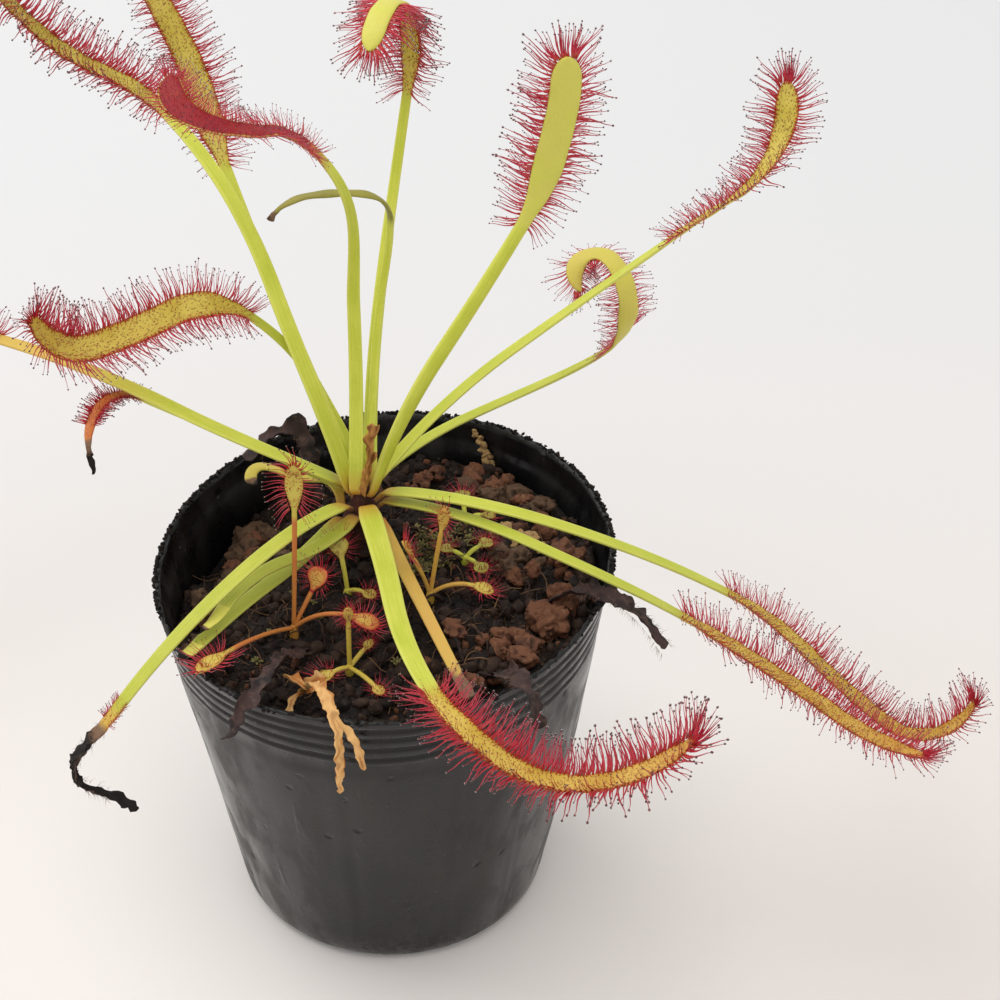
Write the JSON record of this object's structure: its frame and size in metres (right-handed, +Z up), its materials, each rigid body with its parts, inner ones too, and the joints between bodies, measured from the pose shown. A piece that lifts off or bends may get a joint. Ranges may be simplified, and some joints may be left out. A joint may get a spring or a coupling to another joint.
{
  "type": "potted cape sundew",
  "caption": "Cape sundew in a small black film nursery pot: long strap leaves edged with sticky red tentacles on a short stem, with small plantlets and dead leaves on the peat.",
  "frame": {"origin": "centre of the pot's flat underside", "axes": "+Z up along the pot's axis, -Y towards the front of the plant, +X to its right"},
  "size_m": [0.2338, 0.1594, 0.1729],
  "materials": {
    "pot_film": "thin black film plastic with a satin sheen",
    "peat": "damp peat with reddish clay granules",
    "stem_bark": "dark ringed stem",
    "green_leaf": "fresh lime green leaf, slightly glossy, with red tentacles",
    "olive_leaf": "dull olive leaf",
    "old_leaf": "yellowed leaf",
    "plantlet_red": "red young leaf",
    "plantlet_orange": "orange young leaf",
    "plantlet_yellow": "yellow green young leaf",
    "plantlet_green": "green young leaf",
    "dry_leaf_tan": "dry tan leaf",
    "dry_leaf_black": "dry blackened leaf"
  },
  "bodies": {
    "root": {"pot": "pot_film", "growing_medium": "peat", "stem": "stem_bark", "leaf_back_left_long": "green_leaf", "leaf_back_left_broad": "green_leaf", "leaf_left_high_arch": "green_leaf", "leaf_back_upright": "green_leaf", "leaf_slim_arch": "olive_leaf", "leaf_right_back_view": "green_leaf", "leaf_right_high": "green_leaf", "leaf_back_right_curl": "green_leaf", "leaf_right_long": "green_leaf", "leaf_right_low": "green_leaf", "leaf_front_arch": "green_leaf", "leaf_front_old": "old_leaf", "leaf_front_left_withered": "green_leaf", "leaf_front_left_second": "green_leaf", "leaf_front_left_broad": "green_leaf", "leaf_left_long": "green_leaf", "leaf_left_bent_tip": "green_leaf", "leaf_left_forward": "green_leaf", "leaf_left_pale_short": "old_leaf", "plantlet_front_left": "plantlet_red", "plantlet_front": "plantlet_yellow", "plantlet_right": "plantlet_orange", "plantlet_right_green": "plantlet_green", "plantlet_back_green": "plantlet_green", "plantlet_centre": "plantlet_yellow", "dead_leaf_front_left": "dry_leaf_black", "dead_leaf_front": "dry_leaf_tan", "dead_leaf_back_left": "dry_leaf_black", "dead_leaf_right": "dry_leaf_black", "dead_leaf_front_right": "dry_leaf_black", "withered_leaf_centre": "dry_leaf_tan"}
  },
  "joints": []
}
